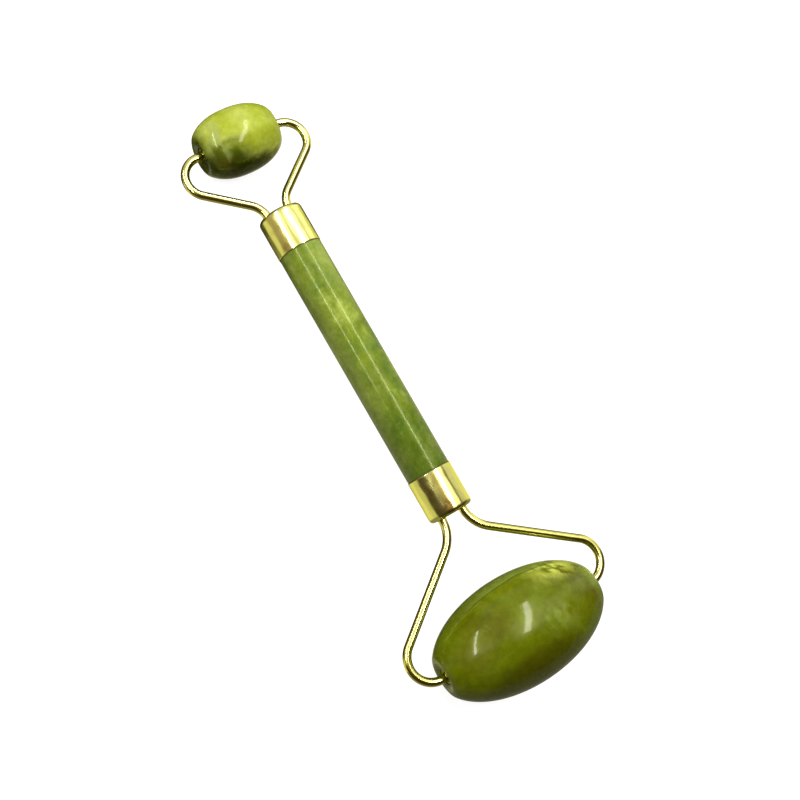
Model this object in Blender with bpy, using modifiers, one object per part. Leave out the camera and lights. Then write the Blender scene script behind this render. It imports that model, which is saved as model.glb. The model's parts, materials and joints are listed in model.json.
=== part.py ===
"""Two-ended jade face roller: a jade rod, two gold ferrules, two bent wire frames and two rollers.

The roller lies on both of its rollers. World axes: +Y runs along the handle towards the small
roller, +X along the rollers' axles and +Z up. The origin is on the floor under the middle of the
whole object.
"""

import math
from dataclasses import dataclass

import bmesh
import bpy
from mathutils import Matrix, Vector

MM = 0.001

# Clearance left between two pieces that would touch.
FIT_GAP = 0.3 * MM

# Handle: the length of rod seen between the two ferrules, and the rod's own section.
HANDLE_LENGTH = 57.2 * MM
ROD_DIAMETER = 10.2 * MM
ROD_CHAMFER = 0.3 * MM
SPIGOT_LENGTH = 3.2 * MM

# Ferrule: a drawn cup, closed at the end that the wire leaves.
FERRULE_DIAMETER = 10.45 * MM
FERRULE_WALL = 0.35 * MM
FERRULE_CORNER = 1.2 * MM

# Wire: its section, the spacing of its two legs at the ferrule and where its U lies in the resin.
WIRE_DIAMETER = 1.95 * MM
LEG_SPACING = 5.45 * MM
LEG_STRAIGHT = 1.9 * MM
PRONG_DEPTH = 5.5 * MM
BEND_STEP = math.radians(10)

# Roller mouths, from the rim inwards, and the bush that sits in each mouth.
MOUTH_RIM_RADIUS = 3.5 * MM
MOUTH_RADIUS = 2.5 * MM
MOUTH_DEPTH = 1.4 * MM
BORE_RADIUS = 1.9 * MM
BUSH_RADIUS = BORE_RADIUS - FIT_GAP
BUSH_HOLE_RADIUS = WIRE_DIAMETER / 2 + FIT_GAP
BUSH_LENGTH = 4.0 * MM
FLANGE_RADIUS = MOUTH_RADIUS - FIT_GAP
FLANGE_THICKNESS = 0.4 * MM

# Facets around each kind of turned piece.
ROLLER_SIDES = 48
HANDLE_SIDES = 40
BUSH_SIDES = 24
WIRE_HOLE_SIDES = 16

FERRULE_INNER_RADIUS = FERRULE_DIAMETER / 2 - FERRULE_WALL
SPIGOT_RADIUS = FERRULE_INNER_RADIUS - FIT_GAP


@dataclass
class RollerEnd:
    """One end of the tool: its ovoid roller and the bends of the wire that carries it."""

    name: str
    length: float
    diameter: float
    squareness: float
    reach: float
    ferrule_length: float
    first_bend_radius: float
    spread_angle: float
    end_bend_radius: float
    profile_points: int

    @property
    def radius(self):
        return self.diameter / 2

    @property
    def u_centre(self):
        """Distance from the ferrule's mouth to the centre of the wire's U."""
        return self.ferrule_length - LEG_STRAIGHT

    def surface_half_angle(self, radius):
        """Parameter of the ovoid's outline at the given distance from the roller's axis."""
        return math.asin((radius / self.radius) ** (self.squareness / 2))

    def outline_point(self, angle):
        """Point (along the axis, from the axis) of the superellipse that shapes the roller."""
        power = 2 / self.squareness
        along = math.copysign(self.length / 2 * abs(math.cos(angle)) ** power, math.cos(angle))
        return along, self.radius * math.sin(angle) ** power

    @property
    def rim(self):
        """Distance from the roller's middle to the rim of its mouths."""
        return self.outline_point(self.surface_half_angle(MOUTH_RIM_RADIUS))[0]


LARGE_END = RollerEnd(
    name="large",
    length=43.1 * MM,
    diameter=24.2 * MM,
    squareness=2.03,
    reach=39.3 * MM,
    ferrule_length=10.2 * MM,
    first_bend_radius=8.2 * MM,
    spread_angle=math.radians(53.2),
    end_bend_radius=5.3 * MM,
    profile_points=29,
)
SMALL_END = RollerEnd(
    name="small",
    length=21.3 * MM,
    diameter=15.3 * MM,
    squareness=2.3,
    reach=28.8 * MM,
    ferrule_length=9.7 * MM,
    first_bend_radius=5.3 * MM,
    spread_angle=math.radians(52.4),
    end_bend_radius=4.7 * MM,
    profile_points=23,
)

# The handle leans down towards the small roller, so that both rollers touch the floor.
AXLE_DISTANCE = LARGE_END.reach + HANDLE_LENGTH + SMALL_END.reach
PITCH = -math.asin((LARGE_END.radius - SMALL_END.radius) / AXLE_DISTANCE)


def clear_scene():
    for old in list(bpy.data.objects):
        bpy.data.objects.remove(old, do_unlink=True)


def new_collection(name):
    collection = bpy.data.collections.new(name)
    bpy.context.scene.collection.children.link(collection)
    return collection


def new_material(name, colour, roughness, metallic=0.0):
    material = bpy.data.materials.new(name)
    material.use_nodes = True
    shader = material.node_tree.nodes["Principled BSDF"]
    shader.inputs["Base Color"].default_value = (*colour, 1)
    shader.inputs["Roughness"].default_value = roughness
    shader.inputs["Metallic"].default_value = metallic
    return material


def gold_material(name):
    return new_material(name, (0.86, 0.74, 0.35), roughness=0.18, metallic=1.0)


def resin_material(name):
    return new_material(name, (0.55, 0.47, 0.28), roughness=0.45)


def handle_jade_material(name):
    return new_material(name, (0.16, 0.25, 0.05), roughness=0.2)


def large_jade_material(name):
    return new_material(name, (0.13, 0.17, 0.015), roughness=0.2)


def small_jade_material(name):
    return new_material(name, (0.30, 0.36, 0.05), roughness=0.2)


def new_empty(name, parent=None, location=(0, 0, 0), rotation=(0, 0, 0)):
    empty = bpy.data.objects.new(name, None)
    parts.objects.link(empty)
    empty.parent = parent
    empty.location = location
    empty.rotation_euler = rotation
    return empty


def place(thing, collection, parent, location=(0, 0, 0), rotation=(0, 0, 0)):
    collection.objects.link(thing)
    thing.parent = parent
    thing.location = location
    thing.rotation_euler = rotation


# Turned pieces are drawn upright, around their own Z, and laid along Y or X by a rotation.
ALONG_Y = (-math.pi / 2, 0, 0)
ALONG_X = (0, math.pi / 2, 0)


def turned(name, profile, sides, material, parent, closed=False, **placement):
    """Turn a profile of (height, radius) points, listed from the top down its outer side."""
    mesh = bpy.data.meshes.new(name)
    points = [(radius, 0, height) for height, radius in profile]
    edges = [(i, i + 1) for i in range(len(points) - 1)]
    if closed:
        edges.append((len(points) - 1, 0))
    mesh.from_pydata(points, edges, [])
    thing = bpy.data.objects.new(name, mesh)
    thing.data.materials.append(material)
    place(thing, parts, parent, **placement)
    screw = thing.modifiers.new("Turn", "SCREW")
    screw.axis = "Z"
    screw.steps = sides
    screw.render_steps = sides
    screw.use_merge_vertices = True
    screw.merge_threshold = 0.00001
    screw.use_smooth_shade = True
    return thing


def cut(thing, cutter, operation="DIFFERENCE"):
    boolean = thing.modifiers.new("Cut " + cutter.name, "BOOLEAN")
    boolean.operation = operation
    boolean.solver = "EXACT"
    boolean.object = cutter


def hide_guide(thing):
    thing.hide_render = True
    thing.display_type = "WIRE"


def corner_arc(height, radius, corner, steps=5):
    """Quarter circle from a flat top out to a cylinder's side, as (height, radius) points."""
    points = []
    for step in range(steps + 1):
        angle = math.pi / 2 * step / steps
        points.append((
            height - corner + corner * math.cos(angle),
            radius - corner + corner * math.sin(angle),
        ))
    return points


def make_handle_rod(parent):
    """Jade rod: a chamfered shoulder stands just inside each ferrule's mouth."""
    shoulder = HANDLE_LENGTH / 2 - FIT_GAP
    tip = HANDLE_LENGTH / 2 + SPIGOT_LENGTH
    upper_half = [
        (tip, 0),
        (tip, SPIGOT_RADIUS - ROD_CHAMFER),
        (tip - ROD_CHAMFER, SPIGOT_RADIUS),
        (shoulder, SPIGOT_RADIUS),
        (shoulder, ROD_DIAMETER / 2 - ROD_CHAMFER),
        (shoulder - ROD_CHAMFER, ROD_DIAMETER / 2),
    ]
    lower_half = [(-height, radius) for height, radius in reversed(upper_half)]
    turned(
        "handle_rod", upper_half + lower_half, HANDLE_SIDES,
        handle_jade_material("handle_jade"), parent, rotation=ALONG_Y,
    )


def make_ferrule(end, mouth):
    """Drawn cup with its mouth at the rod's shoulder and two holes for the wire in its floor."""
    floor = end.ferrule_length - FERRULE_WALL
    outer = corner_arc(end.ferrule_length, FERRULE_DIAMETER / 2, FERRULE_CORNER)
    inner = corner_arc(floor, FERRULE_INNER_RADIUS, FERRULE_CORNER - FERRULE_WALL)
    profile = [(end.ferrule_length, 0)] + outer + [(0, FERRULE_DIAMETER / 2)]
    profile += [(0, FERRULE_INNER_RADIUS)] + inner[::-1] + [(floor, 0)]
    ferrule = turned(
        end.name + "_ferrule", profile, HANDLE_SIDES,
        gold_material(end.name + "_ferrule_gold"), mouth, rotation=ALONG_Y,
    )
    for side in (-1, 1):
        bpy.ops.mesh.primitive_cylinder_add(
            vertices=WIRE_HOLE_SIDES, radius=WIRE_DIAMETER / 2 + FIT_GAP, depth=4 * FERRULE_WALL,
        )
        drill = bpy.context.object
        drill.name = f"{end.name}_leg_drill_{'right' if side > 0 else 'left'}"
        for collection in list(drill.users_collection):
            collection.objects.unlink(drill)
        place(
            drill, cutters, mouth,
            location=(side * LEG_SPACING / 2, floor + FERRULE_WALL / 2, 0),
            rotation=ALONG_Y,
        )
        hide_guide(drill)
        cut(ferrule, drill)


class WireBender:
    """Traces a flat wire's centreline the way a bending machine makes it: feed, then bend."""

    def __init__(self, x, y, heading):
        self.x = x
        self.y = y
        self.heading = heading
        self.points = [(x, y)]

    def feed(self, length):
        """Run straight on; the heading is measured from +Y towards +X."""
        self.x += length * math.sin(self.heading)
        self.y += length * math.cos(self.heading)
        self.points.append((self.x, self.y))

    def bend(self, radius, angle):
        """Turn by the angle, positive towards +X, around an arc of the given radius."""
        steps = math.ceil(abs(angle) / BEND_STEP)
        turn = math.copysign(1, angle)
        centre_x = self.x + turn * radius * math.cos(self.heading)
        centre_y = self.y - turn * radius * math.sin(self.heading)
        for _ in range(steps):
            self.heading += angle / steps
            self.x = centre_x - turn * radius * math.cos(self.heading)
            self.y = centre_y + turn * radius * math.sin(self.heading)
            self.points.append((self.x, self.y))


def u_bend_half(end):
    """Right half of the wire's U, from its middle to the straight leg in the ferrule."""
    bender = WireBender(0, end.u_centre - LEG_SPACING / 2, math.pi / 2)
    bender.bend(LEG_SPACING / 2, -math.pi / 2)
    return bender


def wire_half(end):
    """Right half of a wire frame, from the middle of its U to the tip of its prong."""
    spread = end.spread_angle
    bender = u_bend_half(end)
    bender.feed(LEG_STRAIGHT)
    bender.bend(end.first_bend_radius, spread)
    bends_reach = end.first_bend_radius * math.sin(spread)
    bends_reach += end.end_bend_radius * (1 + math.sin(spread))
    arm_reach = end.reach - end.ferrule_length - bends_reach
    bender.feed(arm_reach / math.cos(spread))
    bender.bend(end.end_bend_radius, -(spread + math.pi / 2))
    bender.feed(bender.x - (end.rim - PRONG_DEPTH))
    return bender.points


def both_halves(right_half):
    """Centreline across both halves of a wire that is symmetric about the handle's axis."""
    left_half = [(-x, y) for x, y in right_half[1:]]
    return left_half[::-1] + right_half


def tube(name, centreline, diameter, collection, parent):
    """Round tube along a flat centreline of (x, y) points."""
    curve = bpy.data.curves.new(name, "CURVE")
    curve.dimensions = "3D"
    curve.bevel_depth = diameter / 2
    curve.bevel_resolution = 2
    curve.use_fill_caps = True
    spline = curve.splines.new("POLY")
    spline.points.add(len(centreline) - 1)
    for point, (x, y) in zip(spline.points, centreline):
        point.co = (x, y, 0, 1)
    spline.use_smooth = True
    thing = bpy.data.objects.new(name, curve)
    place(thing, collection, parent)
    return thing


def as_closed_mesh(tube_object, collection):
    """Replace a tube by a mesh of the same name and place, with its end caps welded on."""
    bpy.context.view_layer.update()
    name = tube_object.name
    parent = tube_object.parent
    placed = tube_object.matrix_world.copy()
    evaluated = tube_object.evaluated_get(bpy.context.evaluated_depsgraph_get())
    mesh = bpy.data.meshes.new_from_object(evaluated)
    bpy.data.objects.remove(tube_object, do_unlink=True)
    welded = bmesh.new()
    welded.from_mesh(mesh)
    bmesh.ops.remove_doubles(welded, verts=welded.verts, dist=0.000001)
    welded.to_mesh(mesh)
    welded.free()
    thing = bpy.data.objects.new(name, mesh)
    collection.objects.link(thing)
    thing.parent = parent
    thing.matrix_world = placed
    return thing


def make_wire_frame(end, mouth):
    centreline = both_halves(wire_half(end))
    wire = tube(end.name + "_wire_frame", centreline, WIRE_DIAMETER, parts, mouth)
    wire.data.materials.append(gold_material(end.name + "_wire_gold"))


def make_potting(end, mouth):
    """Resin plug between the rod's spigot and the ferrule's floor, around the wire's U."""
    top = end.ferrule_length - FERRULE_WALL - FIT_GAP
    bottom = SPIGOT_LENGTH + FIT_GAP
    rounding = FERRULE_CORNER - FERRULE_WALL
    profile = [(top, 0)] + corner_arc(top, SPIGOT_RADIUS, rounding)
    profile += [(bottom, SPIGOT_RADIUS), (bottom, 0)]
    plug = turned(
        end.name + "_potting", profile, HANDLE_SIDES,
        resin_material(end.name + "_resin"), mouth, rotation=ALONG_Y,
    )
    bender = u_bend_half(end)
    bender.feed(2 * LEG_STRAIGHT)
    channel = tube(
        end.name + "_wire_channel", both_halves(bender.points),
        WIRE_DIAMETER + 2 * FIT_GAP, cutters, mouth,
    )
    channel = as_closed_mesh(channel, cutters)
    hide_guide(channel)
    cut(plug, channel)


def roller_profile(end):
    """Closed outline of half a roller's section: ovoid outside, stepped bore inside."""
    first = end.surface_half_angle(MOUTH_RIM_RADIUS)
    outer = []
    for index in range(end.profile_points):
        share = index / (end.profile_points - 1)
        outer.append(end.outline_point(first + (math.pi - 2 * first) * share))
    rim_drop = MOUTH_RIM_RADIUS - MOUTH_RADIUS
    floor = end.rim - MOUTH_DEPTH
    mouth = [(end.rim - rim_drop, MOUTH_RADIUS), (floor, MOUTH_RADIUS), (floor, BORE_RADIUS)]
    far_mouth = [(-height, radius) for height, radius in mouth]
    return outer + far_mouth + mouth[::-1]


def make_roller(end, material, axle):
    turned(
        end.name + "_roller", roller_profile(end), ROLLER_SIDES, material, axle,
        closed=True, rotation=ALONG_X,
    )


def make_bushes(end, axle, turned_about):
    """Flanged sleeves in the roller's two mouths, with their flanges outwards."""
    face = end.rim - MOUTH_DEPTH + FIT_GAP + FLANGE_THICKNESS
    profile = [
        (face, FLANGE_RADIUS),
        (face - FLANGE_THICKNESS, FLANGE_RADIUS),
        (face - FLANGE_THICKNESS, BUSH_RADIUS),
        (face - BUSH_LENGTH, BUSH_RADIUS),
        (face - BUSH_LENGTH, BUSH_HOLE_RADIUS),
        (face, BUSH_HOLE_RADIUS),
    ]
    for direction in (1, -1):
        points_right = (direction > 0) != turned_about
        side = "right" if points_right else "left"
        name = f"{end.name}_roller_bush_{side}"
        turned(
            name, profile, BUSH_SIDES, gold_material(name + "_gold"), axle,
            closed=True, rotation=(0, direction * math.pi / 2, 0),
        )


def make_end(end, roller_material, handle, turned_about):
    """Build one end outwards from its ferrule's mouth; the large end is turned about."""
    direction = -1 if turned_about else 1
    mouth = new_empty(
        end.name + "_ferrule_mouth", handle,
        location=(0, direction * HANDLE_LENGTH / 2, 0),
        rotation=(0, 0, math.pi if turned_about else 0),
    )
    make_ferrule(end, mouth)
    make_potting(end, mouth)
    make_wire_frame(end, mouth)
    # The axle's empty undoes the handle's lean, so that the roller's facets meet the floor level.
    axle = new_empty(
        end.name + "_roller_axle", mouth,
        location=(0, end.reach, 0),
        rotation=(-direction * PITCH, 0, 0),
    )
    make_roller(end, roller_material, axle)
    make_bushes(end, axle, turned_about)


def make_face_roller():
    """Stand the whole tool on the floor, with its middle over the origin."""
    half_length = (LARGE_END.radius + AXLE_DISTANCE * math.cos(PITCH) + SMALL_END.radius) / 2
    large_axle = Vector((0, LARGE_END.radius - half_length, LARGE_END.radius))
    to_handle_middle = Vector((0, LARGE_END.reach + HANDLE_LENGTH / 2, 0))
    lean = Matrix.Rotation(PITCH, 3, "X")
    handle = new_empty(
        "handle_middle", location=large_axle + lean @ to_handle_middle, rotation=(PITCH, 0, 0),
    )
    make_handle_rod(handle)
    make_end(LARGE_END, large_jade_material("large_roller_jade"), handle, turned_about=True)
    make_end(SMALL_END, small_jade_material("small_roller_jade"), handle, turned_about=False)


clear_scene()
parts = new_collection("jade_face_roller")
cutters = new_collection("cutters")
make_face_roller()
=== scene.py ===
"""Looks for the two-ended jade face roller: polished stone, gold-plated metal and a plain studio."""

import json
import math

import bpy
from mathutils import Matrix, Vector


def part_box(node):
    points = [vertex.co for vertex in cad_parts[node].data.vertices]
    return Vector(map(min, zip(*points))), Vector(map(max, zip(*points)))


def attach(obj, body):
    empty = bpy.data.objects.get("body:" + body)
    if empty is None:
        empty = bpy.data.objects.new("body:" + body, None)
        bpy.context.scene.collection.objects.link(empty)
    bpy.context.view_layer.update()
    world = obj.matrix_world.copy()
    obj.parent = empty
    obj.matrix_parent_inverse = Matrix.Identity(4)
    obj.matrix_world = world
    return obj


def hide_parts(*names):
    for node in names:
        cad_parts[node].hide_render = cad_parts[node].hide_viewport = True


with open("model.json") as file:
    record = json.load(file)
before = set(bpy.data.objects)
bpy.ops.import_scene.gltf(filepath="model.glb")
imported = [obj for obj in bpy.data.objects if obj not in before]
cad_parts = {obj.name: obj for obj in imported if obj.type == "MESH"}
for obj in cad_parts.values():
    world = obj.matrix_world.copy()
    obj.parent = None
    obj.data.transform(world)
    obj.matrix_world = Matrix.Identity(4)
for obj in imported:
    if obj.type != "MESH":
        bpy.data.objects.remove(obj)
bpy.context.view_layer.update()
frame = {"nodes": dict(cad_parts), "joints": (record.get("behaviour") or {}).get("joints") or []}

MM = 0.001

# The wire's bends, as they are bent in the CAD model.
WIRE_DIAMETER = 1.95 * MM
LEG_SPACING = 5.45 * MM
LEG_STRAIGHT = 1.9 * MM
PRONG_DEPTH = 5.5 * MM
BEND_STEP = math.radians(3)
WIRE_BENDS = {
    "large": {"first_radius": 8.2 * MM, "spread": math.radians(53.2), "end_radius": 5.3 * MM},
    "small": {"first_radius": 5.3 * MM, "spread": math.radians(52.4), "end_radius": 4.7 * MM},
}

# Outline of each ovoid roller, and the dished mouth at each of its ends.
SQUARENESS = {"large": 2.03, "small": 2.3}
MOUTH_RIM_RADIUS = 3.5 * MM
DISH_RADIUS = 3.3 * MM
DISH_SLOPE = 0.65
DISH_EASING = 2.6 * MM
BORE_RADIUS = 1.9 * MM
BORE_DEPTH = 4.0 * MM
BUSH_RADIUS = 1.84 * MM
BUSH_HOLE_RADIUS = 1.12 * MM
BUSH_RECESS = 1.1 * MM
BUSH_LENGTH = 4.0 * MM
BUSH_OUTER_EASING = 0.12 * MM
BUSH_HOLE_EASING = 0.18 * MM

# Ferrule and rod. The seam is the gap between two pieces that are fitted into each other.
FERRULE_WALL = 0.35 * MM
FERRULE_CORNER = 1.2 * MM
SPIGOT_EASING = 0.3 * MM
SHOULDER_EASING = 0.5 * MM
SEAM = 0.06 * MM

# Adhesive: the ring around each leg. At each ferrule's mouth, a dark ring in the resin's colour is
# painted shade for the gap between lip and rod.
LEG_SEAL_HEIGHT = 0.28 * MM
LEG_SEAL_WIDTH = 0.42 * MM
LEG_SEAL_WAIST = 0.05 * MM
LEG_SEAL_EASING = 0.2 * MM
LEG_SEAL_UNDERCUT = 0.3 * MM
EDGE_SHADOW_RING_INSIDE = 0.15 * MM
EDGE_SHADOW_RING_OUTSIDE = 0.14 * MM
EDGE_SHADOW_RING_PROUD = 0.07 * MM
EDGE_SHADOW_RING_EASING = 0.1 * MM

FLOOR_RADIUS = 3.0
TUBE_HEIGHT = 0.3

# Camera, measured from the middle of the handle: what it looks at, from how far and which way.
CAMERA_LENS = 52.8
CAMERA_DISTANCE = 260.2 * MM
CAMERA_AIM = Vector((2.75, -11.5, 0)) * MM
CAMERA_SIDE_TILT = math.radians(-19.8)
CAMERA_END_TILT = math.radians(3.9)
CAMERA_ROLL = math.radians(-30.06)

# Pieces are turned around their own Z and laid along the handle or along an axle.
ALONG_HANDLE = Matrix.Rotation(-math.pi / 2, 4, "X")
ALONG_AXLE = Matrix.Rotation(math.pi / 2, 4, "Y")


# ---------------------------------------------------------------------------------- the frame

def joint_place(name):
    """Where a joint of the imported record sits."""
    for joint in frame["joints"]:
        if joint["name"] == name:
            return Vector(joint["pos_m"])
    raise KeyError(name)


LARGE_AXLE = joint_place("large_roller_spin")
SMALL_AXLE = joint_place("small_roller_spin")


def handle_frame():
    """Frame with Y along the handle towards the small roller, and its origin at the rod's middle."""
    along = (SMALL_AXLE - LARGE_AXLE).normalized()
    across = Vector((1, 0, 0))
    up = across.cross(along)
    low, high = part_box("handle_rod")
    turned = Matrix((across, along, up)).transposed().to_4x4()
    return Matrix.Translation((low + high) / 2) @ turned


HANDLE = handle_frame()
TO_HANDLE = HANDLE.inverted()


def span_along_handle(node):
    """Lowest and highest place of a CAD node along the handle, from the rod's middle."""
    places = [(TO_HANDLE @ vertex.co).y for vertex in frame["nodes"][node].data.vertices]
    return min(places), max(places)


def width_across(node):
    """Size of a CAD node along the axles' direction."""
    low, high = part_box(node)
    return high.x - low.x


FERRULE_MOUTH = min(abs(place) for place in span_along_handle("small_ferrule"))
ROD_TIP = span_along_handle("handle_rod")[1]
ROD_RADIUS = width_across("handle_rod") / 2
FERRULE_RADIUS = width_across("small_ferrule") / 2
SPIGOT_RADIUS = FERRULE_RADIUS - FERRULE_WALL - SEAM


class End:
    """One end of the tool, with its sizes read from the frame."""

    def __init__(self, name, direction, axle):
        self.name = name
        self.direction = direction
        self.body = name + "_roller_body"
        ferrule_places = [abs(place) for place in span_along_handle(name + "_ferrule")]
        self.ferrule_length = max(ferrule_places) - FERRULE_MOUTH
        low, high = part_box(name + "_roller")
        self.radius = (high.z - low.z) / 2
        self.rim = (high.x - low.x) / 2
        self.squareness = SQUARENESS[name]
        flat = (1 - (MOUTH_RIM_RADIUS / self.radius) ** self.squareness) ** (1 / self.squareness)
        self.half_length = self.rim / flat
        self.reach = abs((TO_HANDLE @ axle).y) - FERRULE_MOUTH
        turned_about = Matrix.Rotation(math.pi if direction < 0 else 0, 4, "Z")
        to_mouth = Matrix.Translation((0, direction * FERRULE_MOUTH, 0))
        self.mouth_frame = HANDLE @ to_mouth @ turned_about
        self.axle_frame = Matrix.Translation(axle)


LARGE = End("large", -1, LARGE_AXLE)
SMALL = End("small", 1, SMALL_AXLE)


# ------------------------------------------------------------------------------ mesh helpers

def rounded(corners, steps=6):
    """Profile with its corners eased: each corner is (height, radius, size of the rounding)."""
    points = []
    for index, (height, radius, size) in enumerate(corners):
        corner = Vector((height, radius))
        if size == 0:
            points.append(tuple(corner))
            continue
        before = Vector(corners[index - 1][:2])
        after = Vector(corners[(index + 1) % len(corners)][:2])
        start = corner + (before - corner).normalized() * min(size, (before - corner).length / 2)
        stop = corner + (after - corner).normalized() * min(size, (after - corner).length / 2)
        for step in range(steps + 1):
            share = step / steps
            eased = start * (1 - share) ** 2 + corner * 2 * share * (1 - share) + stop * share ** 2
            points.append(tuple(eased))
    return points


def turned_piece(name, profile, sides, matrix, closed=False):
    """Turn (height, radius) points, listed from the top down the outer side, around Z."""
    mesh = bpy.data.meshes.new(name)
    edges = [(i, i + 1) for i in range(len(profile) - 1)]
    if closed:
        edges.append((len(profile) - 1, 0))
    mesh.from_pydata([(radius, 0, height) for height, radius in profile], edges, [])
    piece = bpy.data.objects.new(name, mesh)
    bpy.context.collection.objects.link(piece)
    piece.matrix_world = matrix
    screw = piece.modifiers.new("Turn", "SCREW")
    screw.steps = sides
    screw.render_steps = sides
    screw.use_merge_vertices = True
    screw.merge_threshold = 0.000001
    return piece


def settle(piece, sharp_above=math.radians(35)):
    """Apply a piece's modifiers, turn its own axes to the world's and shade it smooth."""
    bpy.context.view_layer.update()
    evaluated = piece.evaluated_get(bpy.context.evaluated_depsgraph_get())
    mesh = bpy.data.meshes.new_from_object(evaluated)
    piece.modifiers.clear()
    piece.data = mesh
    middle = Matrix.Translation(piece.matrix_world.translation)
    mesh.transform(middle.inverted() @ piece.matrix_world)
    piece.matrix_world = middle
    mesh.shade_smooth()
    mesh.set_sharp_from_angle(angle=sharp_above)
    return piece


def dress(piece, body, slot, material, *nodes):
    """Give a piece its material, let it ride and stand for its CAD nodes; the finish slot is not used.
    """
    piece.data.materials.clear()
    piece.data.materials.append(material)
    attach(piece, body)
    if nodes:
        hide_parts(*nodes)
    return piece


# ---------------------------------------------------------------------------- node materials

class Look:
    """A Principled material that is put together node by node, on object coordinates."""

    def __init__(self, name):
        self.material = bpy.data.materials.new(name)
        self.material.use_nodes = True
        self.tree = self.material.node_tree
        self.shader = self.tree.nodes["Principled BSDF"]
        self.place = self.add("ShaderNodeTexCoord").outputs["Object"]

    def add(self, kind, inputs=None, **settings):
        """Make a node; an input may be a value or another node's output."""
        node = self.tree.nodes.new(kind)
        for name, value in settings.items():
            setattr(node, name, value)
        for key, value in (inputs or {}).items():
            self.feed(node.inputs[key], value)
        return node

    def feed(self, socket, value):
        if isinstance(value, bpy.types.NodeSocket):
            self.tree.links.new(value, socket)
        else:
            socket.default_value = value

    def set(self, **values):
        """Set the shader's own sockets; underscores stand for the spaces in their names."""
        for name, value in values.items():
            self.feed(self.shader.inputs[name.replace("_", " ")], value)

    def math(self, operation, first, second=0.0, clamp=False):
        node = self.add("ShaderNodeMath", {0: first, 1: second}, operation=operation, use_clamp=clamp)
        return node.outputs[0]

    def noise_node(self, per_metre, detail=4.0, roughness=0.55, distortion=0.0, at=None,
                   stretch=(1, 1, 1), offset=(0, 0, 0)):
        """Noise with features about 1/per_metre across, longer where stretch is below 1."""
        mapping = self.add(
            "ShaderNodeMapping",
            {"Vector": at or self.place, "Scale": stretch, "Location": offset},
        )
        node = self.add(
            "ShaderNodeTexNoise",
            {
                "Vector": mapping.outputs[0],
                "Scale": per_metre,
                "Detail": detail,
                "Roughness": roughness,
                "Distortion": distortion,
            },
        )
        return node

    def noise(self, per_metre, **settings):
        """Cloudy values around 0.5."""
        return self.noise_node(per_metre, **settings).outputs["Fac"]

    def warped(self, amount, per_metre):
        """Coordinates pushed about by noise, so that what is read there swirls like stone."""
        swirl = self.noise_node(per_metre, detail=3.0).outputs["Color"]
        centred = self.add(
            "ShaderNodeVectorMath", {0: swirl, 1: (0.5, 0.5, 0.5)}, operation="SUBTRACT",
        )
        scaled = self.add(
            "ShaderNodeVectorMath", {0: centred.outputs[0], "Scale": amount}, operation="SCALE",
        )
        moved = self.add(
            "ShaderNodeVectorMath", {0: self.place, 1: scaled.outputs[0]}, operation="ADD",
        )
        return moved.outputs[0]

    def step(self, value, low, high):
        """0 below low, 1 above high and smooth between."""
        node = self.add(
            "ShaderNodeMapRange",
            {"Value": value, "From Min": low, "From Max": high},
            interpolation_type="SMOOTHSTEP",
        )
        return node.outputs[0]

    def between(self, value, low, high):
        """Spread a 0 to 1 value over low to high."""
        node = self.add("ShaderNodeMapRange", {"Value": value, "To Min": low, "To Max": high})
        return node.outputs[0]

    def mix(self, share, first, second, blend_type="MIX"):
        node = self.add(
            "ShaderNodeMix",
            {"Factor": share, 6: colour(first), 7: colour(second)},
            data_type="RGBA", blend_type=blend_type,
        )
        return node.outputs[2]

    def stain(self, base, where, share, stained):
        """Colour the places that are marked 0 to 1, up to the given share."""
        return self.mix(self.math("MULTIPLY", where, share), base, stained)

    def ramp(self, value, stops):
        """Colour ramp through (position, colour) stops."""
        node = self.add("ShaderNodeValToRGB", {0: value})
        elements = node.color_ramp.elements
        while len(elements) < len(stops):
            elements.new(0.5)
        for element, (position, stop_colour) in zip(elements, stops):
            element.position = position
            element.color = colour(stop_colour)
        return node.outputs[0]

    def vein(self, per_metre, width, at=None, offset=(0, 0, 0), detail=3.0, distortion=0.6):
        """Thin wandering lines, 1 on the line, where a noise crosses its middle value."""
        field = self.noise(per_metre, detail=detail, distortion=distortion, at=at, offset=offset)
        from_middle = self.math("ABSOLUTE", self.math("SUBTRACT", field, 0.5))
        return self.math("SUBTRACT", 1.0, self.step(from_middle, 0.0, width))

    def patch(self, centre, size, at=None, softness=1.0):
        """A soft spot, told in mm: 1 at its centre, falling to 0 at its size along each axis."""
        mapping = self.add(
            "ShaderNodeMapping",
            {"Vector": at or self.place, "Location": Vector(centre) * MM, "Scale": Vector(size) * MM},
            vector_type="TEXTURE",
        )
        ball = self.add(
            "ShaderNodeTexGradient", {"Vector": mapping.outputs[0]}, gradient_type="SPHERICAL",
        )
        return self.step(ball.outputs["Fac"], 0.0, softness)

    def bump(self, height, strength, distance):
        node = self.add(
            "ShaderNodeBump", {"Height": height, "Strength": strength, "Distance": distance},
        )
        self.feed(self.shader.inputs["Normal"], node.outputs[0])


def colour(value):
    """A colour socket as it is, or a display colour of 0 to 255 steps as linear light."""
    if isinstance(value, bpy.types.NodeSocket):
        return value
    linear = []
    for channel in value:
        level = channel / 255
        linear.append(level / 12.92 if level <= 0.04045 else ((level + 0.055) / 1.055) ** 2.4)
    return (*linear, 1)


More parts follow.
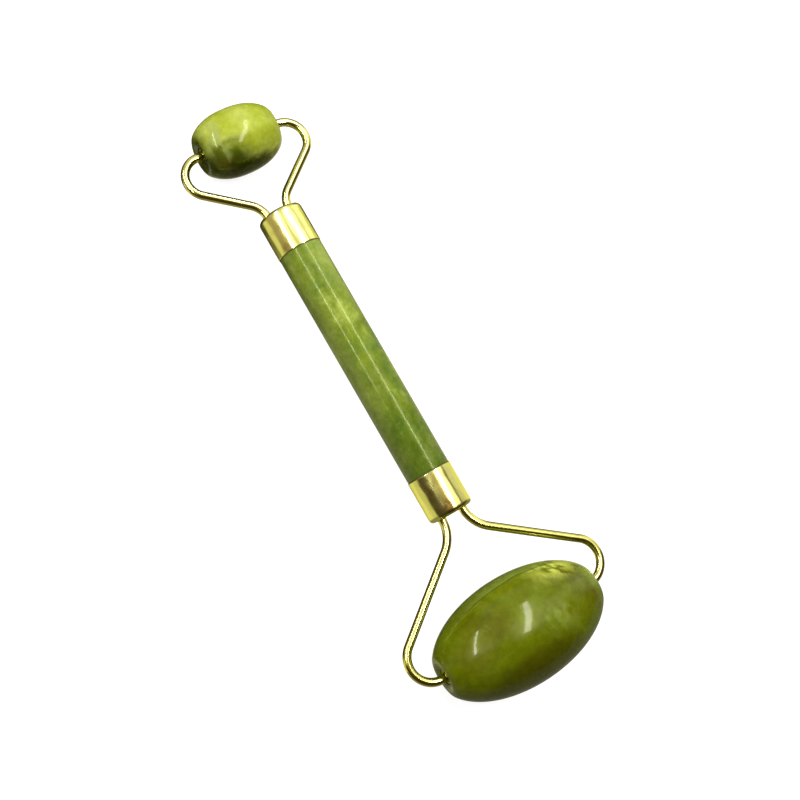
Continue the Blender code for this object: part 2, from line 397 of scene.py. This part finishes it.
def polish_stone(look, waviness, coat, haze=(0.17, 0.27)):
    """Waxed, hand-polished surface: crisp gloss over a softer one, faint waves, pits and scratches."""
    waves = look.noise(260, detail=2.0)
    ripples = look.noise(1200, detail=3.0, offset=(4, 4, 8))
    grain = look.noise(2600, detail=3.0)
    scratches = look.vein(700, 0.012, distortion=1.5, offset=(3, 1, 2))
    pits = look.step(look.noise(1500, detail=2.0, offset=(2, 9, 4)), 0.66, 0.74)
    dull = look.step(look.noise(180, detail=5.0, offset=(5, 5, 5)), 0.45, 0.7)
    roughness = look.math("ADD", look.between(dull, *haze), look.math("MULTIPLY", grain, 0.05))
    look.set(
        Roughness=roughness,
        IOR=1.5,
        Specular_IOR_Level=0.2,
        Specular_Tint=(0.95, 1.0, 0.35, 1.0),
        Coat_Weight=coat,
        Coat_Roughness=0.05,
        Coat_IOR=1.45,
        Subsurface_Weight=0.2,
        Subsurface_Radius=(1.0, 1.2, 0.3),
        Subsurface_Scale=2 * MM,
    )
    height = look.math("ADD", look.math("MULTIPLY", waves, waviness), look.math("MULTIPLY", grain, 0.12))
    height = look.math("ADD", height, look.math("MULTIPLY", ripples, 0.24 * waviness))
    height = look.math("SUBTRACT", height, look.math("MULTIPLY", scratches, 0.15))
    height = look.math("SUBTRACT", height, look.math("MULTIPLY", pits, 0.25))
    look.bump(height, 0.25, 0.06 * MM)


def grain_over(look, base, per_metre, depth):
    """Darken and lighten a stone's colour by its own fine crystal grain."""
    grain = look.noise(per_metre, detail=5.0, roughness=0.7, offset=(6, 6, 1))
    spread = look.step(grain, 0.3, 0.7)
    darker = look.mix(1.0, base, (255 - depth, 255 - depth, 255 - depth), blend_type="MULTIPLY")
    return look.mix(spread, darker, base)


def large_roller_jade():
    """Olive jade with cloudy patches, a dark healed crack and a knot of pale veins, with painted shade
    on the side turned from the lights and a painted sheen beside the right highlight.
    """
    look = Look("large_roller_jade")
    swirl = look.warped(6 * MM, 90)
    clouds = look.noise(90, detail=7.0, roughness=0.55, at=swirl)
    base = look.ramp(clouds, [
        (0.34, (82, 86, 2)),
        (0.45, (92, 101, 4)),
        (0.55, (98, 111, 6)),
        (0.68, (110, 125, 19)),
    ])
    brown = look.step(look.noise(130, detail=5.0, at=swirl, offset=(8, 2, 6)), 0.5, 0.64)
    base = look.stain(base, brown, 0.35, (98, 97, 2))
    smoke = look.step(look.noise(210, detail=7.0, at=swirl, offset=(2, 7, 4)), 0.52, 0.7)
    base = look.stain(base, smoke, 0.35, (118, 133, 36))

    # Pale wisps over the top: the stone's clouding together with a painted sheen beside the right
    # highlight.
    cloud_and_sheen = look.patch((6, 0, 11.5), (8, 6, 6), at=swirl)
    wisps = look.noise(420, detail=6.0, at=swirl, stretch=(1, 0.45, 1), offset=(1, 5, 5))
    cloud_and_sheen_wisps = look.math("MULTIPLY", cloud_and_sheen, look.step(wisps, 0.38, 0.62))
    base = look.stain(base, cloud_and_sheen_wisps, 0.75, (133, 144, 57))

    left_cloud = look.patch((-13, 1, 8), (6, 6, 6), at=swirl)
    base = look.stain(base, left_cloud, 0.45, (110, 116, 32))

    knot = look.patch((12.5, 8.5, 5), (11, 4.5, 9))
    strokes = look.noise(480, detail=6.0, at=swirl, stretch=(1, 0.4, 0.6), offset=(9, 1, 5))
    knot_veins = look.math("MULTIPLY", knot, look.step(strokes, 0.35, 0.56))
    base = look.stain(base, knot_veins, 0.95, (206, 212, 92))

    # Painted shade: the side away from the handle, turned from the lights, is darkened.
    painted_shade_band = look.patch((-3, -7.8, 8.5), (18, 5.8, 10), at=swirl, softness=0.6)
    base = look.stain(base, painted_shade_band, 0.75, (70, 72, 3))
    end_stain = look.patch((16.5, -1, 7), (1.6, 7, 6), at=swirl)
    base = look.stain(base, end_stain, 0.7, (89, 78, 8))

    # The crack lies in a plane along the roller's axis, and beyond it the stone is paler.
    crack_plane = look.add(
        "ShaderNodeVectorMath", {0: look.warped(1.2 * MM, 140), 1: (0.0, -0.40, 0.916)},
        operation="DOT_PRODUCT",
    ).outputs["Value"]
    crack_side = look.patch((3, 12, 4), (22, 9, 9))
    beyond_crack = look.math("MULTIPLY", crack_side, look.step(crack_plane, 0.1 * MM, -0.3 * MM))
    base = look.stain(base, beyond_crack, 0.7, (128, 144, 57))
    from_crack = look.math("ABSOLUTE", crack_plane)
    crack_line = look.math("SUBTRACT", 1.0, look.step(from_crack, 0.04 * MM, 0.22 * MM))
    crack_line = look.math("MULTIPLY", crack_line, look.step(crack_side, 0.1, 0.5))
    base = look.stain(base, crack_line, 0.75, (53, 65, 6))
    look.set(Base_Color=grain_over(look, base, 700, 26))
    polish_stone(look, waviness=2.5, coat=0.23)
    return look.material


def small_roller_jade():
    """Lime jade that turns to dark smoke on one side, deepened there to painted shade on the side turned
    from the lights, with feathery pale veins through it.
    """
    look = Look("small_roller_jade")
    swirl = look.warped(4 * MM, 160)
    clouds = look.noise(190, detail=7.0, roughness=0.6, at=swirl)
    base = look.ramp(clouds, [
        (0.36, (152, 163, 40)),
        (0.5, (162, 173, 54)),
        (0.64, (172, 181, 82)),
    ])
    for centre, size in (
        ((1, 3, 6.8), (3.6, 4.6, 3.4)),
        ((-6.4, 4, 5), (2.6, 3.6, 3.4)),
    ):
        milk = look.patch(centre, size, at=swirl)
        base = look.stain(base, milk, 0.4, (192, 200, 112))

    # The smoke lies on one side of a slanted plane, the side turned from the lights, where its darkness
    # is partly painted shade, and its border wanders.
    side = look.add(
        "ShaderNodeVectorMath", {0: swirl, 1: (0.42, 1.0, 0.0)}, operation="DOT_PRODUCT",
    ).outputs["Value"]
    border = look.noise(210, detail=7.0, at=swirl, offset=(1, 3, 8))
    wander = look.math("MULTIPLY", look.math("SUBTRACT", border, 0.5), 9 * MM)
    smoke_and_shade_side = look.step(look.math("ADD", side, wander), -2 * MM, -6.2 * MM)
    smoke_end = look.patch((-11.1, 1.2, 0), (4.5, 10, 10), at=swirl, softness=0.6)
    smoke = look.math("MAXIMUM", smoke_and_shade_side, look.math("MULTIPLY", smoke_end, 0.95))
    # Smoky colours: the stone's own smoke, darkened further as painted shade.
    smoky_and_shaded = look.ramp(look.noise(150, detail=5.0, at=swirl, offset=(3, 3, 9)), [
        (0.38, (46, 53, 2)),
        (0.5, (68, 77, 6)),
        (0.62, (98, 109, 26)),
    ])
    paler_end = look.patch((6.5, -3, 5), (6.8, 6.2, 7.5), at=swirl)
    smoky_and_shaded = look.stain(smoky_and_shaded, paler_end, 0.8, (124, 138, 42))
    wisps = look.step(look.noise(380, detail=6.0, at=swirl, offset=(7, 1, 2)), 0.36, 0.6)
    puff = look.patch((0.8, -4.8, 6), (5.2, 2.4, 3.4), at=swirl)
    smoky_and_shaded = look.stain(smoky_and_shaded, puff, look.between(wisps, 0.2, 0.75), (122, 134, 66))
    mossy = look.patch((-6.2, -2.6, 5.2), (4.2, 4.4, 5), at=swirl)
    smoky_and_shaded = look.stain(smoky_and_shaded, mossy, 0.7, (90, 100, 22))
    rust = look.patch((-6.6, -4.8, 4), (5, 2.2, 3.4), at=swirl)
    smoky_and_shaded = look.stain(smoky_and_shaded, rust, 0.5, (84, 74, 20))
    base = look.mix(smoke, base, smoky_and_shaded)

    feather_side = look.patch((-6.4, 0.4, 5.2), (3.4, 6.6, 6), softness=0.7)
    barbs = look.noise(520, detail=5.0, at=swirl, stretch=(1, 0.3, 0.45), offset=(6, 2, 2))
    feathers = look.math("MULTIPLY", feather_side, look.step(barbs, 0.4, 0.56))
    base = look.stain(base, feathers, 0.8, (150, 161, 82))
    fleck_side = look.patch((-5.8, -3.6, 5.4), (2.2, 2.4, 2.6))
    flecks = look.math("MULTIPLY", fleck_side, look.step(barbs, 0.5, 0.6))
    base = look.stain(base, flecks, 0.8, (134, 142, 78))
    look.set(Base_Color=grain_over(look, base, 900, 22))
    polish_stone(look, waviness=2.2, coat=0.2, haze=(0.2, 0.3))
    return look.material


def handle_jade():
    """Mid-green jade, mottled with yellow-green and blue-green clouds, with painted shade darkening the
    large end, painted light at the small end and a painted sheen along the left flank.
    """
    look = Look("handle_jade")
    swirl = look.warped(5 * MM, 150)
    clouds = look.noise(170, detail=9.0, roughness=0.64, at=swirl, stretch=(1, 0.7, 1))
    base = look.ramp(clouds, [
        (0.34, (72, 95, 14)),
        (0.44, (98, 118, 23)),
        (0.55, (120, 138, 36)),
        (0.65, (149, 164, 66)),
    ])
    pale = look.step(look.noise(95, detail=6.0, at=swirl, offset=(9, 4, 7)), 0.52, 0.68)
    base = look.stain(base, pale, 0.6, (148, 161, 71))
    cool = look.step(look.noise(190, detail=6.0, at=swirl, offset=(4, 4, 1)), 0.5, 0.66)
    base = look.stain(base, cool, 0.5, (77, 111, 37))
    # Painted shade and light: darker towards the large end and lighter at the small end, as the light
    # falls off along the rod.
    large_end_shade = look.patch((0, -34, 0), (30, 36, 30))
    base = look.stain(base, large_end_shade, 0.9, (68, 91, 18))
    small_end_light = look.patch((3.5, 26, 3), (7, 18, 8), at=swirl)
    base = look.stain(base, small_end_light, 0.6, (162, 178, 82))
    # Painted reflection: a pale sheen along the rod's left flank, as the white table would throw.
    left_flank_sheen = look.patch((-5, 0, 2.4), (3.6, 45, 5), at=swirl)
    base = look.stain(base, left_flank_sheen, 0.5, (142, 157, 80))
    flecks = look.step(look.noise(900, detail=3.0, offset=(7, 2, 3)), 0.6, 0.72)
    base = look.stain(base, flecks, 0.25, (151, 163, 93))
    look.set(Base_Color=grain_over(look, base, 800, 30))
    polish_stone(look, waviness=0.3, coat=0.1)
    return look.material


def gold_plate(name, base, haze, stretch=(1, 1, 1), dent_depth=0.0, worn_at=None):
    """Polished pale gold plate: drawing lines along the stretched direction, haze and shallow dents."""
    look = Look(name)
    lines = look.noise(1500, detail=4.0, stretch=stretch)
    dull = look.step(look.noise(240, detail=4.0), 0.45, 0.75)
    tarnish = look.step(look.noise(420, detail=5.0, offset=(3, 3, 3)), 0.54, 0.76)
    tint = look.stain(base, tarnish, 0.4, (204, 170, 84))
    if worn_at:
        scuffs = look.noise(900, detail=5.0, offset=(2, 5, 9))
        worn = look.patch(worn_at, (2.6, 3.2, 3), at=look.warped(1.6 * MM, 700))
        worn = look.math("MULTIPLY", worn, look.step(scuffs, 0.3, 0.55))
        tint = look.stain(tint, worn, 0.85, (172, 118, 62))
    roughness = look.math("ADD", look.between(dull, *haze), look.math("MULTIPLY", lines, 0.06))
    look.set(
        Base_Color=tint, Metallic=1.0, Roughness=roughness, Specular_Tint=(1.0, 0.95, 0.6, 1.0),
    )
    dents = look.noise(230, detail=2.0, stretch=(1, 0.55, 1), offset=(1, 8, 2))
    relief = look.math("MULTIPLY", lines, 0.01)
    relief = look.math("ADD", relief, look.math("MULTIPLY", dents, dent_depth))
    look.bump(relief, 0.5, 0.1 * MM)
    return look.material


def resin():
    """Brown adhesive, slightly cloudy."""
    look = Look("potting_resin")
    clouds = look.noise(900, detail=3.0)
    look.set(
        Base_Color=look.ramp(clouds, [(0.3, (58, 52, 18)), (0.7, (88, 78, 34))]),
        Roughness=look.between(clouds, 0.25, 0.45),
        IOR=1.55,
    )
    look.bump(clouds, 0.2, 0.05 * MM)
    return look.material


# ------------------------------------------------------------------------------- the pieces

def build_rod(material):
    """Polished rod with eased shoulders that meet the ferrules, and its hidden spigots."""
    shoulder = FERRULE_MOUTH - SEAM
    upper = [
        (ROD_TIP, 0, 0),
        (ROD_TIP, SPIGOT_RADIUS, SPIGOT_EASING),
        (shoulder, SPIGOT_RADIUS, 0),
        (shoulder, ROD_RADIUS, SHOULDER_EASING),
    ]
    lower = [(-height, radius, size) for height, radius, size in reversed(upper)]
    rod = turned_piece("handle_rod_stone", rounded(upper + lower), 160, HANDLE @ ALONG_HANDLE)
    settle(rod)
    dress(rod, "handle", "handle_jade", material, "handle_rod")


def build_ferrule(end, material):
    """Drawn cup: rolled lip at the mouth, rounded floor and two holes for the wire's legs."""
    floor = end.ferrule_length - FERRULE_WALL
    inner = FERRULE_RADIUS - FERRULE_WALL
    lip = FERRULE_WALL * 0.45
    corners = [
        (end.ferrule_length, 0, 0),
        (end.ferrule_length, FERRULE_RADIUS, FERRULE_CORNER),
        (0, FERRULE_RADIUS, lip),
        (0, inner, lip),
        (floor, inner, FERRULE_CORNER - FERRULE_WALL),
        (floor, 0, 0),
    ]
    cup = turned_piece(
        end.name + "_ferrule_cup", rounded(corners, steps=12), 160, end.mouth_frame @ ALONG_HANDLE,
    )
    drills = []
    for side in (-1, 1):
        bpy.ops.mesh.primitive_cylinder_add(
            vertices=64, radius=WIRE_DIAMETER / 2 + SEAM, depth=4 * FERRULE_WALL,
        )
        drill = bpy.context.object
        place = Matrix.Translation((side * LEG_SPACING / 2, end.ferrule_length, 0))
        drill.matrix_world = end.mouth_frame @ place @ ALONG_HANDLE
        boolean = cup.modifiers.new("Leg hole", "BOOLEAN")
        boolean.solver = "EXACT"
        boolean.object = drill
        drills.append(drill)
    settle(cup)
    for drill in drills:
        bpy.data.objects.remove(drill, do_unlink=True)
    dress(cup, "handle", "gold_plate", material, end.name + "_ferrule")


def build_seals(end, material):
    """Small ring of adhesive that has crept up around each leg where it leaves the ferrule."""
    wire = WIRE_DIAMETER / 2
    foot = wire + LEG_SEAL_WIDTH
    corners = [
        (LEG_SEAL_HEIGHT, wire - SEAM, 0),
        (LEG_SEAL_WAIST, wire + SEAM, LEG_SEAL_EASING),
        (0, foot, 0),
        (-FERRULE_WALL, foot - LEG_SEAL_UNDERCUT, 0),
        (-FERRULE_WALL, wire - SEAM, 0),
    ]
    for side in (-1, 1):
        place = Matrix.Translation((side * LEG_SPACING / 2, end.ferrule_length, 0))
        world_side = "right" if side * end.direction > 0 else "left"
        resin_ring = turned_piece(
            f"{end.name}_leg_seal_{world_side}", rounded(corners), 48,
            end.mouth_frame @ place @ ALONG_HANDLE, closed=True,
        )
        settle(resin_ring)
        dress(resin_ring, "handle", "potting_resin", material)


def build_edge_shadow_ring(end, material):
    """Thin dark ring in the resin's colour between the ferrule's lip and the rod: painted shade for the
    shadow in the gap there.
    """
    proud = ROD_RADIUS + EDGE_SHADOW_RING_PROUD
    corners = [
        (EDGE_SHADOW_RING_INSIDE, ROD_RADIUS - SEAM, 0),
        (EDGE_SHADOW_RING_INSIDE, proud, 0),
        (-EDGE_SHADOW_RING_OUTSIDE, proud, EDGE_SHADOW_RING_EASING),
        (-EDGE_SHADOW_RING_OUTSIDE, ROD_RADIUS - SEAM, 0),
    ]
    resin_ring = turned_piece(
        end.name + "_edge_shadow_ring", rounded(corners), 128, end.mouth_frame @ ALONG_HANDLE, closed=True,
    )
    settle(resin_ring)
    dress(resin_ring, "handle", "potting_resin", material)


class WireBender:
    """Traces a flat wire's centreline the way a bending machine makes it: feed, then bend."""

    def __init__(self, x, y, heading):
        self.x = x
        self.y = y
        self.heading = heading
        self.points = [(x, y)]

    def feed(self, length):
        """Run straight on; the heading is measured from +Y towards +X."""
        self.x += length * math.sin(self.heading)
        self.y += length * math.cos(self.heading)
        self.points.append((self.x, self.y))

    def bend(self, radius, angle):
        """Turn by the angle, positive towards +X, around an arc of the given radius."""
        steps = math.ceil(abs(angle) / BEND_STEP)
        turn = math.copysign(1, angle)
        centre_x = self.x + turn * radius * math.cos(self.heading)
        centre_y = self.y - turn * radius * math.sin(self.heading)
        for _ in range(steps):
            self.heading += angle / steps
            self.x = centre_x - turn * radius * math.cos(self.heading)
            self.y = centre_y + turn * radius * math.sin(self.heading)
            self.points.append((self.x, self.y))


def wire_half(end):
    """Right half of a wire frame, from the middle of its U to the tip of its prong."""
    bends = WIRE_BENDS[end.name]
    spread = bends["spread"]
    bender = WireBender(0, end.ferrule_length - LEG_STRAIGHT - LEG_SPACING / 2, math.pi / 2)
    bender.bend(LEG_SPACING / 2, -math.pi / 2)
    bender.feed(LEG_STRAIGHT)
    bender.bend(bends["first_radius"], spread)
    bends_reach = bends["first_radius"] * math.sin(spread)
    bends_reach += bends["end_radius"] * (1 + math.sin(spread))
    bender.feed((end.reach - end.ferrule_length - bends_reach) / math.cos(spread))
    bender.bend(bends["end_radius"], -(spread + math.pi / 2))
    bender.feed(bender.x - (end.rim - PRONG_DEPTH))
    return bender.points


def build_wire(end, material):
    """Round polished wire along the bent centreline."""
    right_half = wire_half(end)
    centreline = [(-x, y) for x, y in right_half[:0:-1]] + right_half
    curve = bpy.data.curves.new(end.name + "_wire_bent", "CURVE")
    curve.dimensions = "3D"
    curve.bevel_depth = WIRE_DIAMETER / 2
    curve.bevel_resolution = 9
    curve.use_fill_caps = True
    spline = curve.splines.new("POLY")
    spline.points.add(len(centreline) - 1)
    for point, (x, y) in zip(spline.points, centreline):
        point.co = (x, y, 0, 1)
    spline.use_smooth = True
    wire = bpy.data.objects.new(end.name + "_wire_bent", curve)
    bpy.context.collection.objects.link(wire)
    wire.matrix_world = end.mouth_frame
    dress(wire, "handle", "gold_wire", material, end.name + "_wire_frame")


def soft_minimum(first, second, width):
    """The lower of two values, with the change from one to the other eased over the width."""
    share = max(0, 1 - abs(first - second) / width)
    return min(first, second) - share ** 2 * width / 4


def roller_half_outline(end, points=90, dish_points=20):
    """The roller's outer side from one dished mouth to the girth, as (along, from the axis)."""
    def ovoid(radius):
        return end.half_length * (1 - (radius / end.radius) ** end.squareness) ** (1 / end.squareness)

    def height(radius):
        dish = ovoid(DISH_RADIUS) - DISH_SLOPE * (DISH_RADIUS - radius)
        return soft_minimum(ovoid(radius), dish, DISH_EASING)

    outline = []
    for index in range(dish_points):
        radius = BORE_RADIUS + (DISH_RADIUS - BORE_RADIUS) * index / dish_points
        outline.append((height(radius), radius))
    first = math.asin((DISH_RADIUS / end.radius) ** (end.squareness / 2))
    for index in range(points):
        angle = first + (math.pi / 2 - first) * index / (points - 1)
        radius = min(end.radius, end.radius * math.sin(angle) ** (2 / end.squareness))
        outline.append((height(radius), radius))
    return outline


def build_roller(end, slot, material):
    """Stone ovoid whose surface rolls over into the dished mouths of its bore."""
    near_half = [(end.rim - BORE_DEPTH, BORE_RADIUS)] + roller_half_outline(end)
    far_half = [(-height, radius) for height, radius in near_half[-2::-1]]
    stone = turned_piece(
        end.name + "_roller_stone", near_half + far_half, 192, end.axle_frame @ ALONG_AXLE, closed=True,
    )
    settle(stone)
    dress(stone, end.body, slot, material, end.name + "_roller")


def build_bushes(end, material):
    """Sleeves just inside the two mouths."""
    face = end.rim - BUSH_RECESS
    corners = [
        (face, BUSH_RADIUS, BUSH_OUTER_EASING),
        (face - BUSH_LENGTH, BUSH_RADIUS, 0),
        (face - BUSH_LENGTH, BUSH_HOLE_RADIUS, 0),
        (face, BUSH_HOLE_RADIUS, BUSH_HOLE_EASING),
    ]
    for side, direction in (("right", 1), ("left", -1)):
        laid = Matrix.Rotation(direction * math.pi / 2, 4, "Y")
        name = f"{end.name}_roller_bush_{side}"
        bush = turned_piece(name + "_turned", rounded(corners), 64, end.axle_frame @ laid, closed=True)
        settle(bush)
        dress(bush, end.body, "bush_brass", material, name)


def finish_cad_nodes(resin_look):
    """The resin plugs stay as they are in the CAD model, out of sight in the ferrules."""
    for end in (LARGE, SMALL):
        node = frame["nodes"][end.name + "_potting"]
        node.data.materials.clear()
        node.data.materials.append(resin_look)


# ------------------------------------------------------------------------------- the studio

def floor_paper():
    """Slightly mottled matt paper, lit through from behind like a light table."""
    look = Look("floor_paper")
    mottle = look.noise(30, detail=3.0)
    look.set(
        Base_Color=look.mix(mottle, (147.75, 147.75, 147.75), (150, 150, 150)),
        Roughness=0.6,
        Emission_Color=(1, 1, 1, 1),
        Emission_Strength=0.88,
    )
    return look.material


def build_floor():
    """Big white sheet; what it would throw back at the object is part of the room's light."""
    bpy.ops.mesh.primitive_circle_add(vertices=96, radius=FLOOR_RADIUS, fill_type="NGON")
    floor = bpy.context.object
    floor.name = "floor"
    floor.data.materials.append(floor_paper())
    floor.visible_diffuse = False
    floor.visible_glossy = False


def add_panel(name, start, stop, width, radiance):
    """Flat light along a line, facing the object; radiance is its brightness beside white paper."""
    start = Vector(start)
    stop = Vector(stop)
    centre = (start + stop) / 2
    along = (stop - start).normalized()
    backward = (centre - along * centre.dot(along)).normalized()
    turned = Matrix((along.cross(backward), along, backward)).transposed().to_4x4()
    light = bpy.data.lights.new(name, "AREA")
    light.shape = "RECTANGLE"
    light.size = width
    light.size_y = (stop - start).length
    light.energy = radiance * math.pi * light.size * light.size_y
    panel = bpy.data.objects.new(name, light)
    bpy.context.collection.objects.link(panel)
    panel.matrix_world = Matrix.Translation(centre) @ turned
    panel.visible_camera = False
    return panel


def build_lights():
    """Two tubes above the tool, each from its near end to its far end."""
    add_panel(
        "left_tube", (-0.218, 0.04, TUBE_HEIGHT), (-0.177, 0.45, TUBE_HEIGHT), width=0.024, radiance=34,
    )
    add_panel(
        "right_tube", (0.0515, -0.07, TUBE_HEIGHT), (0.168, 0.29, TUBE_HEIGHT), width=0.030, radiance=25,
    )


class Room(Look):
    """World shader: brightness and tint by direction, as smooth steps between walls."""

    def __init__(self, name):
        self.world = bpy.data.worlds.new(name)
        self.world.use_nodes = True
        self.tree = self.world.node_tree
        self.shader = self.tree.nodes["Background"]
        self.place = self.add("ShaderNodeTexCoord").outputs["Generated"]

    def band(self, value, start, stop, easing):
        """1 between start and stop, 0 outside, with both borders eased."""
        opened = self.step(value, start - easing / 2, start + easing / 2)
        closed = self.step(value, stop - easing / 2, stop + easing / 2)
        return self.math("MULTIPLY", opened, self.math("SUBTRACT", 1.0, closed))

    def total(self, *terms):
        """Sum of (share, strength) terms."""
        result = 0.0
        for share, strength in terms:
            result = self.math("ADD", result, self.math("MULTIPLY", share, strength))
        return result


def build_world():
    """Dim room with a soft window to each side, a bright table under it and light from beyond."""
    room = Room("studio")
    bpy.context.scene.world = room.world
    parts = room.add("ShaderNodeSeparateXYZ", {0: room.place})
    right, beyond, up = parts.outputs

    # A direction is told by its turn around Y, in radians from straight up towards the right, and
    # by how far it points beyond the small roller, from -1 to 1.
    turn = room.math("ARCTAN2", right, up)
    far = room.step(beyond, 0.06, 0.24)
    near = room.math("SUBTRACT", 1.0, far)
    level = room.band(beyond, -0.12, 0.42, 0.24)

    right_window = room.math("MULTIPLY", level, room.band(turn, 0.05, 0.8, 0.15))
    left_window = room.math("MULTIPLY", level, room.band(turn, -0.75, -0.25, 0.2))
    left_window = room.math("MULTIPLY", left_window, far)
    far_right = room.math("MULTIPLY", far, room.step(turn, -0.5, -0.1))
    right_wall = room.math("MULTIPLY", level, room.step(turn, 0.9, 1.2))
    warm_wall = room.math("MULTIPLY", near, room.band(turn, -0.5, 0.1, 0.15))
    warm_wall = room.math("MULTIPLY", warm_wall, level)
    walls = room.total(
        (1.0, 0.05), (far, 0.4), (far_right, 0.28),
        (right_window, 1.5), (left_window, 1.3), (right_wall, 0.75), (warm_wall, 0.3),
    )

    square_on = room.math("SUBTRACT", 1.0, room.step(room.math("ABSOLUTE", beyond), 0.08, 0.22))
    table_sides = room.math("MULTIPLY", level, room.band(turn, -2.2, 2.05, 0.2))
    in_front = room.step(beyond, 0.05, -0.15)
    dim_stripe = room.math("MULTIPLY", near, room.band(turn, -2.15, -1.6, 0.6))
    underneath = room.step(room.math("ABSOLUTE", turn), 2.6, 2.9)
    square_on = room.math("MULTIPLY", square_on, room.between(underneath, 1.0, 0.55))
    table = room.math("MAXIMUM", square_on, table_sides)
    table = room.math("SUBTRACT", table, room.math("MULTIPLY", dim_stripe, 0.3), clamp=True)
    table = room.total((table, 0.8), (in_front, 0.24), (1.0, 0.04))

    above = room.step(up, -0.12, 0.05)
    strength = room.add(
        "ShaderNodeMix", {"Factor": above, "A": table, "B": walls}, data_type="FLOAT",
    ).outputs[0]
    warmth = room.math("MULTIPLY", above, room.math("SUBTRACT", 1.0, room.step(strength, 0.3, 0.6)))
    tint = room.mix(above, (255, 252, 208), (255, 255, 255))
    room.set(Color=room.mix(warmth, tint, (255, 214, 160)), Strength=strength)
    backdrop = room.add("ShaderNodeBackground", {"Strength": 1.0, "Color": (1, 1, 1, 1)})
    seen = room.add("ShaderNodeLightPath").outputs["Is Camera Ray"]
    both = room.add(
        "ShaderNodeMixShader", {0: seen, 1: room.shader.outputs[0], 2: backdrop.outputs[0]},
    )
    room.feed(room.tree.nodes["World Output"].inputs["Surface"], both.outputs[0])


def build_camera():
    camera = bpy.data.objects.new("camera", bpy.data.cameras.new("camera"))
    bpy.context.collection.objects.link(camera)
    camera.data.lens = CAMERA_LENS
    camera.data.clip_start = 0.01
    camera.matrix_world = (
        HANDLE
        @ Matrix.Translation(CAMERA_AIM)
        @ Matrix.Rotation(CAMERA_SIDE_TILT, 4, "Y")
        @ Matrix.Rotation(CAMERA_END_TILT, 4, "X")
        @ Matrix.Rotation(CAMERA_ROLL, 4, "Z")
        @ Matrix.Translation((0, 0, CAMERA_DISTANCE))
    )
    bpy.context.scene.camera = camera


def build_roller_tool():
    build_rod(handle_jade())
    ferrule_gold = gold_plate(
        "ferrule_gold", (238, 234, 138), haze=(0.17, 0.23), stretch=(1, 0.04, 1), dent_depth=5.0,
        worn_at=(-1.2, -8.3, 5),
    )
    wire_gold = gold_plate("wire_gold", (231, 226, 126), haze=(0.1, 0.16))
    bush_gold = gold_plate("bush_gold", (150, 148, 72), haze=(0.28, 0.4), stretch=(0.1, 1, 1))
    resin_look = resin()
    roller_jade = {"large": large_roller_jade(), "small": small_roller_jade()}
    for end in (LARGE, SMALL):
        build_ferrule(end, ferrule_gold)
        build_seals(end, resin_look)
        build_edge_shadow_ring(end, resin_look)
        build_wire(end, wire_gold)
        build_roller(end, end.name + "_roller_jade", roller_jade[end.name])
        build_bushes(end, bush_gold)
    finish_cad_nodes(resin_look)


build_roller_tool()
build_floor()
build_world()
build_lights()
build_camera()
bpy.context.scene.view_settings.view_transform = "Standard"
